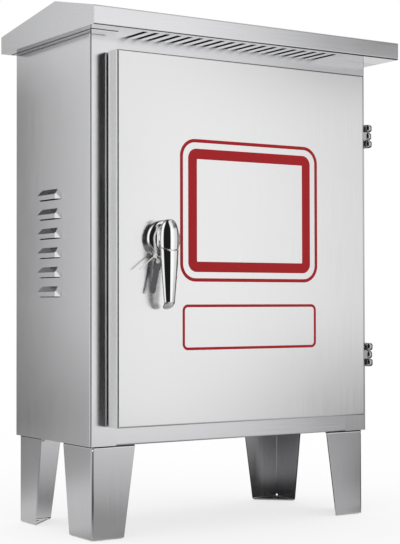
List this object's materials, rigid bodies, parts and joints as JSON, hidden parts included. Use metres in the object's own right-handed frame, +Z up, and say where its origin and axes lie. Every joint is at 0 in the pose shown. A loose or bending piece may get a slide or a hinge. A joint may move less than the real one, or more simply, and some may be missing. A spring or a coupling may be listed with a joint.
{
  "type": "freestanding electrical enclosure",
  "caption": "Freestanding stainless sheet-metal electrical enclosure with a gabled rain hood, side louvres, a hinged pan door with a lever lock, and tapered folded legs.",
  "frame": {"origin": "centre of the rectangle of foot holes, on the floor", "axes": "+X to the right seen from the door, +Y from the door to the back, +Z up"},
  "size_m": [0.55, 0.3037, 0.77],
  "materials": {
    "body_steel": "fine brushed stainless sheet",
    "door_steel": "fine satin stainless sheet",
    "leg_steel": "brushed stainless sheet",
    "lock_chrome": "polished chrome plate",
    "hinge_metal": "polished casting",
    "zinc": "bright zinc plate",
    "seal_rubber": "foamed black seal",
    "tie_nylon": "natural nylon",
    "red_print": "satin screen print"
  },
  "bodies": {
    "cabinet": {"left_side_panel": "body_steel", "right_side_panel": "body_steel", "back_panel": "body_steel", "top_pan": "body_steel", "bottom_pan": "body_steel", "hood_shell": "body_steel", "hood_end_left": "body_steel", "hood_end_right": "body_steel", "hood_rib_left": "zinc", "hood_rib_right": "zinc", "hood_bolts": "zinc", "leg_front_left": "leg_steel", "leg_front_right": "leg_steel", "leg_rear_left": "leg_steel", "leg_rear_right": "leg_steel", "leg_bolts": "zinc", "leg_nuts": "zinc", "mounting_plate": "zinc", "plate_studs": "zinc", "plate_nuts": "zinc", "earth_stud": "zinc", "earth_nuts": "zinc", "cable_grommet_left": "seal_rubber", "cable_grommet_right": "seal_rubber", "hinge_frame_leaf_upper": "hinge_metal", "hinge_frame_leaf_lower": "hinge_metal", "hinge_pin_upper": "hinge_metal", "hinge_pin_lower": "hinge_metal", "hinge_frame_nuts": "zinc"},
    "door": {"door_panel": "door_steel", "door_gasket": "seal_rubber", "hinge_door_leaf_upper": "hinge_metal", "hinge_door_leaf_lower": "hinge_metal", "hinge_door_nuts": "zinc", "lock_rosette": "lock_chrome", "lock_nut": "zinc", "door_earth_stud": "zinc", "key_tie": "tie_nylon", "door_key": "zinc"},
    "lever": {"lever_handle": "lock_chrome", "lock_spindle": "zinc", "latch_cam": "zinc", "cam_screw": "zinc", "cover_pin": "zinc"},
    "cover": {"keyhole_cover": "lock_chrome"},
    "plug": {"lock_plug": "zinc"}
  },
  "joints": [
    {"name": "door_swing", "type": "hinge", "parent": "cabinet", "child": "door", "pos_m": [0.244, -0.132, 0.426], "axis": [0, 0, 1], "range_deg": [0, 120]},
    {"name": "handle_turn", "type": "hinge", "parent": "door", "child": "lever", "pos_m": [-0.151, -0.148, 0.426], "axis": [0, -1, 0], "range_deg": [0, 90]},
    {"name": "cover_swing", "type": "hinge", "parent": "lever", "child": "cover", "pos_m": [-0.151, -0.1713, 0.444], "axis": [0, -1, 0], "range_deg": [0, 110]},
    {"name": "plug_turn", "type": "hinge", "parent": "lever", "child": "plug", "pos_m": [-0.151, -0.1703, 0.426], "axis": [0, -1, 0], "range_deg": [0, 90]}
  ]
}
